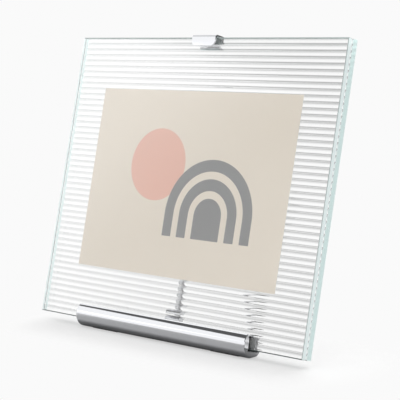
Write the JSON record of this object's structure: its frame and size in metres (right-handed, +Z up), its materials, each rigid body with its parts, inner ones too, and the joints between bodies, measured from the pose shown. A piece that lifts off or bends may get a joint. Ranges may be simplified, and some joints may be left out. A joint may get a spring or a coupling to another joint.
{
  "type": "clip frame",
  "caption": "Desk photo frame: a clear and a reeded glass pane held together by a top clip, standing in a slotted metal foot bar with a hinged rod leg behind.",
  "frame": {"origin": "middle of the footprint, on the surface that the foot pads and the leg's tip stand on", "axes": "+Z up, the glass faces -Y and leans back towards +Y, +X to the right seen from the front"},
  "size_m": [0.236, 0.119, 0.2032],
  "materials": {
    "foot_bar": "polished chrome plate",
    "slot_liner": "matt black rubber",
    "bar_pads": "matt black rubber",
    "bracket": "polished chrome plate",
    "screws": "zinc-plated steel",
    "rods": "polished chrome plate",
    "hinge_head": "satin chrome plate",
    "washers": "natural nylon",
    "clear_glass": "clear float glass, ground edges",
    "reeded_glass": "clear float glass with rolled reeds, ground edges",
    "print": null,
    "clip": "polished chrome plate",
    "lining": "clear soft film"
  },
  "bodies": {
    "stand": {"foot_bar": "foot_bar", "slot_liner": "slot_liner", "bar_pads": "bar_pads", "foot_bracket": "bracket", "bracket_screws": "screws", "spine_rod": "rods", "grub_screws": "screws", "hinge_head": "hinge_head", "rest_pad": "bar_pads", "hinge_pin": "screws", "pin_washers": "washers", "pin_retainer": "screws"},
    "leg": {"leg_knuckle": "hinge_head", "leg_rod": "rods", "leg_tip": "bar_pads"},
    "rear_glass": {"reeded_pane": "reeded_glass", "photo_print": "print"},
    "front_glass": {"front_pane": "clear_glass"},
    "clip": {"top_clip": "clip", "clip_lining": "lining"}
  },
  "joints": [
    {"name": "leg_fold", "type": "hinge", "parent": "stand", "child": "leg", "pos_m": [0, 0.00468, 0.15011], "axis": [-1, 0, 0], "range_deg": [0, 32.18]},
    {"name": "rear_glass_lift", "type": "slide", "parent": "stand", "child": "rear_glass", "axis": [0, 0.225, 0.9744], "range_m": [0, 0.03]},
    {"name": "front_glass_lift", "type": "slide", "parent": "rear_glass", "child": "front_glass", "axis": [0, 0.225, 0.9744], "range_m": [0, 0.06]},
    {"name": "clip_lift", "type": "slide", "parent": "front_glass", "child": "clip", "axis": [0, 0.225, 0.9744], "range_m": [0, 0.02]}
  ]
}
